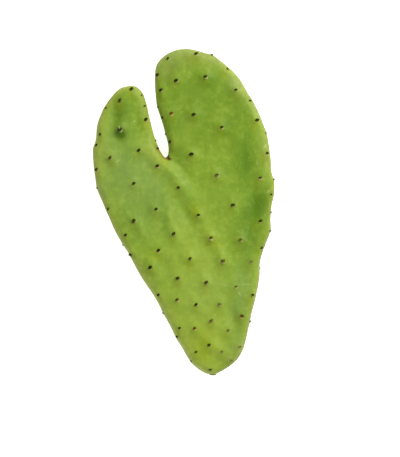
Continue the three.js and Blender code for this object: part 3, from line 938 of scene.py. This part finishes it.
class Finish:
    """A material's nodes. Constants are set on the shader's own sockets."""

    def __init__(self, name, **constants):
        self.material = bpy.data.materials.new(name)
        self.material.use_nodes = True
        self.tree = self.material.node_tree
        self.shader = self.tree.nodes["Principled BSDF"]
        for socket, value in constants.items():
            self.shader.inputs[socket.replace("_", " ")].default_value = value

    def node(self, kind, settings, inputs, output=0):
        """A new node with its settings, and with values or links on its sockets."""
        made = self.tree.nodes.new(kind)
        for name, value in settings.items():
            setattr(made, name, value)
        for name, value in inputs.items():
            if isinstance(value, Value):
                self.tree.links.new(value.socket, made.inputs[name])
            else:
                made.inputs[name].default_value = value
        return Value(self, made.outputs[output])

    def drive(self, socket, value):
        self.tree.links.new(value.socket, self.shader.inputs[socket])

    def place(self, scale=(1, 1, 1), turn=0):
        """Coordinates on the piece, scaled and then turned; a scale under 1 stretches a texture."""
        where = self.node("ShaderNodeTexCoord", {}, {}, "Object")
        inputs = {"Vector": where, "Scale": scale, "Rotation": (0, 0, math.radians(turn))}
        return self.node("ShaderNodeMapping", {}, inputs)

    def noise(self, size, detail=3, roughness=0.55, where=None):
        """Noise whose blotches are about size millimetres wide."""
        inputs = {
            "Vector": where or self.place(),
            "Scale": 1 / (size * MM),
            "Detail": detail,
            "Roughness": roughness,
        }
        return self.node("ShaderNodeTexNoise", {}, inputs, "Fac")

    def cells(self, size):
        """Distance to the nearest of scattered points, about size millimetres apart."""
        inputs = {"Vector": self.place(), "Scale": 1 / (size * MM)}
        return self.node("ShaderNodeTexVoronoi", {}, inputs, "Distance")

    def spread(self, value, low, high):
        """Maps low..high of a value onto 0..1, and holds it there beyond them."""
        inputs = {"Value": value, "From Min": low, "From Max": high}
        return self.node("ShaderNodeMapRange", {"clamp": True}, inputs)

    def mark(self, at, half_length, half_width, turn, strength):
        """A thin oval streak that is laid on the skin from above."""
        where = self.node("ShaderNodeSeparateXYZ", {}, {"Vector": self.place()}, "X")
        x = where - at[0] * MM
        y = Value(self, where.socket.node.outputs["Y"]) - at[1] * MM
        cosine, sine = math.cos(math.radians(turn)), math.sin(math.radians(turn))
        s = (x * cosine + y * sine) * (1 / (half_length * MM))
        c = (y * cosine - x * sine) * (1 / (half_width * MM))
        return (1 - s * s - c * c).clamp() * strength

    def attribute(self, name):
        return self.node("ShaderNodeAttribute", {"attribute_name": name}, {}, "Fac")

    def blend(self, share, first, second):
        """Goes from the first colour to the second as share goes from 0 to 1."""
        factor, a, b, result = MIX_COLOUR_SOCKETS
        inputs = {factor: share, a: first, b: second}
        return self.node("ShaderNodeMix", {"data_type": "RGBA"}, inputs, result)

    def coat(self, colour, *layers):
        """Covers a colour with shades, one after the other, each by its own share."""
        for share, shade in layers:
            colour = self.blend(share, colour, shade)
        return colour

    def bump(self, height, distance, strength=1.0, normal=None):
        inputs = {"Height": height, "Distance": distance * MM, "Strength": strength}
        if normal:
            inputs["Normal"] = normal
        return self.node("ShaderNodeBump", {}, inputs)


def finish_skin():
    skin = Finish(
        "waxy_green_skin",
        Subsurface_Weight=0.12,
        Subsurface_Radius=(0.5, 1.0, 0.15),
        Subsurface_Scale=0.003,
        Specular_IOR_Level=0.18,
    )
    stretched = skin.place(scale=(1, 0.35, 1), turn=-34)
    broad = skin.noise(26, detail=4)
    streaks = skin.noise(9, detail=4, where=stretched)
    clouds = skin.noise(9, detail=5, roughness=0.6)
    mottle = skin.noise(4.5, detail=6, roughness=0.65)
    patchy = skin.spread(mottle, 0.34, 0.66)
    scarce = skin.spread(skin.noise(17, detail=2), 0.5, 0.62)
    flecks = skin.spread(skin.cells(3.4), 0.11, 0.05)
    specks = skin.spread(skin.cells(1.5), 0.2, 0.1)
    grazed = skin.noise(0.7, detail=1, where=skin.place(scale=(1, 0.05, 1), turn=-52))
    rubbed = skin.noise(0.8, detail=1, where=skin.place(scale=(1, 0.04, 1), turn=15))
    scratches = skin.spread(grazed, 0.7, 0.78) + skin.spread(rubbed, 0.72, 0.8)
    torn = 0.3 + 0.7 * skin.spread(skin.noise(1.1), 0.4, 0.56)

    def mottled(name, least):
        """A patch attribute that the mottling thins down to its least share."""
        return (skin.attribute(name) * (least + (1 - least) * patchy)).clamp()

    deep_and_shade = skin.attribute("deep_and_shade")
    tender = (1.0 - deep_and_shade * 0.5).clamp()
    speckled = skin.spread(clouds, 0.55, 0.4) * tender
    face = skin.attribute("front")
    # pale scratches and nicks, and painted glints on the right rim
    marks = [(skin.mark(*mark) * torn * face, srgb(190, 204, 138)) for mark in PALE_MARKS_AND_GLINTS]
    colour = skin.coat(
        skin.blend(skin.spread(broad, 0.35, 0.65), srgb(115, 148, 35), srgb(134, 165, 46)),
        (skin.spread(streaks, 0.38, 0.66) * 0.5, srgb(149, 172, 59)),
        (skin.spread(clouds, 0.46, 0.66) * 0.4, srgb(101, 138, 27)),
        # paler green, and painted light
        (mottled("pale_and_lit", 0.7) * 0.8, srgb(164, 183, 65)),
        # fuller green, and painted shade
        (mottled("deep_and_shade", 0.6) * 0.85, srgb(82, 119, 6)),
        ((skin.attribute("olive") * 0.7).clamp(), srgb(144, 162, 6)),
        # paler rim, partly painted light
        ((skin.attribute("pale_lit_rim") * 0.8).clamp(), srgb(160, 172, 62)),
        # painted rim light
        (skin.attribute("painted_rim_light").clamp() * 0.85, srgb(198, 212, 104)),
        (mottled("lip", 0.7) * 0.75, srgb(146, 144, 90)),
        (mottled("bloom", 0.4) * 0.6, srgb(142, 164, 104)),
        (mottled("brown", 0.5), srgb(150, 150, 70)),
        # yellower skin and painted shade below each areole
        ((skin.attribute("under") * 0.4).clamp(), srgb(132, 148, 4)),
        (patchy * 0.32, srgb(99, 130, 27)),  # mottling
        ((deep_and_shade - 1.1).clamp() * 0.8, srgb(62, 98, 0)),  # the deepest patches: painted shade in hollows
        (skin.spread(mottle, 0.46, 0.3) * tender * 0.14, srgb(170, 190, 96)),  # between it
        (specks * speckled * 0.3, srgb(176, 194, 116)),
        (flecks * scarce * 0.5, srgb(186, 200, 130)),
        (scratches * scarce * 0.4, srgb(178, 186, 118)),
        *marks,
        (mottled("notch", 0.6) * 0.85, srgb(140, 88, 12)),
        (skin.attribute("notch_tip").clamp(), srgb(60, 36, 8)),
    )
    skin.drive("Base Color", colour)
    skin.drive("Roughness", 0.44 + 0.16 * mottle + 0.08 * skin.attribute("bloom"))

    pores = skin.noise(0.9)
    creases = skin.noise(5, detail=4, where=stretched)
    rough = skin.bump(pores, 0.06, 0.6)
    skin.drive("Normal", skin.bump(creases, 0.5, 0.5, rough))
    return skin.material


def finish_wool():
    wool = Finish("areole_wool", Specular_IOR_Level=0.1)
    tangle = wool.noise(0.35, detail=4)
    colour = wool.coat(
        wool.blend(wool.spread(tangle, 0.35, 0.65), srgb(46, 54, 4), srgb(84, 94, 22)),
        (wool.spread(wool.attribute("tint"), 0.6, 1.0) * 0.8, srgb(128, 132, 62)),
        (wool.attribute("pale") * 0.6, srgb(172, 168, 88)),
        (wool.attribute("rust") * 0.8, srgb(142, 110, 40)),
    )
    wool.drive("Base Color", colour)
    wool.drive("Roughness", 0.85 + 0.1 * tangle)
    wool.drive("Normal", wool.bump(tangle, 0.25))
    return wool.material


def finish_leaf_scar():
    scar = Finish("dry_leaf_scar", Specular_IOR_Level=0.2)
    tint = scar.attribute("tint")
    grain = scar.noise(0.6, detail=4)
    colour = scar.coat(
        scar.blend(scar.spread(grain, 0.35, 0.7), srgb(128, 138, 60), srgb(170, 168, 96)),
        (scar.spread(tint, 0.5, 0.8) * 0.6, srgb(188, 190, 118)),
        (scar.spread(tint, 0.86, 0.96) * 0.6, srgb(196, 158, 120)),
        (scar.attribute("rust") * 0.8, srgb(202, 176, 98)),
    )
    scar.drive("Base Color", colour)
    scar.drive("Roughness", 0.6 + 0.25 * grain)
    scar.drive("Normal", scar.bump(grain, 0.12))
    return scar.material


def finish_bristles():
    bristles = Finish("dark_bristles", Specular_IOR_Level=0.15)
    grain = bristles.noise(0.5, detail=2)
    colour = bristles.coat(
        bristles.blend(bristles.spread(grain, 0.3, 0.7), srgb(34, 42, 4), srgb(72, 78, 12)),
        (bristles.attribute("rust") * 0.4, srgb(96, 76, 12)),
    )
    bristles.drive("Base Color", colour)
    bristles.drive("Roughness", 0.45 + 0.2 * grain)
    return bristles.material


def finish_spine():
    spine = Finish("ivory_spine", Specular_IOR_Level=0.5)
    grain = spine.noise(0.8)
    spine.drive("Base Color", spine.blend(grain, srgb(238, 236, 224), srgb(206, 200, 176)))
    spine.drive("Roughness", 0.35 + 0.2 * grain)
    return spine.material


def finish_cork():
    cork = Finish("corky_scar")
    grain = cork.noise(1.1, detail=5, roughness=0.65)
    colour = cork.blend(cork.spread(grain, 0.3, 0.7), srgb(176, 178, 110), srgb(216, 212, 166))
    cork.drive("Base Color", colour)
    cork.drive("Roughness", 0.75 + 0.2 * grain)
    cork.drive("Normal", cork.bump(grain, 0.3))
    return cork.material


def dress(piece, material):
    piece.data.materials.clear()
    piece.data.materials.append(material)
    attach(piece, "root")


# ---- Floor, light and camera ----------------------------------------------------------

FLOOR_SIZE = 16  # metres, so that its edge is out of sight
FLOOR_DROP = 0.0003
WHITE = (1, 1, 1, 1)
FLOOR_GLOW = 0.75
STUDIO_GLOW = 0.27  # of the white surroundings


def lay_floor():
    deselect()
    bpy.ops.mesh.primitive_plane_add(size=FLOOR_SIZE, location=(0, 0, -FLOOR_DROP))
    floor = bpy.context.object
    floor.name = "floor"
    paper = Finish(
        "white_paper", Roughness=0.9, Emission_Color=WHITE, Emission_Strength=FLOOR_GLOW
    )
    grain = paper.noise(40, detail=2)
    paper.drive("Base Color", paper.blend(grain, srgb(246, 246, 246), srgb(250, 250, 250)))
    floor.data.materials.append(paper.material)


def add_lamp(name, place, aim, size, power):
    deselect()
    bpy.ops.object.light_add(type="AREA", location=place)
    lamp = bpy.context.object
    lamp.name = name
    lamp.data.size = size
    lamp.data.energy = power
    lamp.rotation_euler = (Vector(aim) - Vector(place)).to_track_quat("-Z", "Y").to_euler()


def light_scene():
    world = bpy.data.worlds.new("studio")
    world.use_nodes = True
    backdrop = world.node_tree.nodes["Background"]
    backdrop.inputs["Color"].default_value = WHITE
    backdrop.inputs["Strength"].default_value = STUDIO_GLOW
    bpy.context.scene.world = world
    add_lamp("key", place=(0.52, 0.6, 0.66), aim=(0, 0, 0.01), size=0.5, power=10.6)
    add_lamp("fill", place=(-0.25, -0.6, 0.8), aim=(0.02, -0.1, 0.01), size=0.8, power=3.8)


FRAME_HEIGHT = 393  # of the view at the pad's margin, in millimetres
FRAME_CENTRE = (14.4, -14.4)
MARGIN_LEVEL = 10  # height of the margin, about
LENS = 85
SENSOR = 36


def set_camera():
    distance = FRAME_HEIGHT / 2 / (SENSOR / 2 / LENS) + MARGIN_LEVEL
    place = Vector((*FRAME_CENTRE, distance)) * MM
    deselect()
    bpy.ops.object.camera_add(location=place, rotation=(0, 0, 0))
    camera = bpy.context.object
    camera.data.lens = LENS
    camera.data.sensor_width = SENSOR
    bpy.context.scene.camera = camera
    bpy.context.scene.view_settings.view_transform = "Standard"


# ---- The scene ------------------------------------------------------------------------

skin = model_skin()
frames = areole_frames(skin)
spine = model_spine(frames)
wools = [model_wool(seed) for seed in (1, 2, 3)]
wool = plant(wools, frames, "areole_wool", seed=11)
scars = [model_leaf_scar(seed) for seed in (4, 5, 6)]
leaf_scars = plant(scars, frames, "leaf_scars", seed=12)
tuft_kinds = [model_tuft(seed, count) for seed, count in TUFTS]
tufts = plant(tuft_kinds, frames, "bristle_tufts", seed=13, turn=0.5)
base_scar = model_base_scar()
for piece in (wool, leaf_scars, spine):
    smooth_shading(piece)

dress(skin, finish_skin())
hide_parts("pad")
dress(wool, finish_wool())
dress(leaf_scars, finish_leaf_scar())
dress(tufts, finish_bristles())
dress(spine, finish_spine())
dress(base_scar, finish_cork())

lay_floor()
light_scene()
set_camera()

bpy.context.view_layer.update()
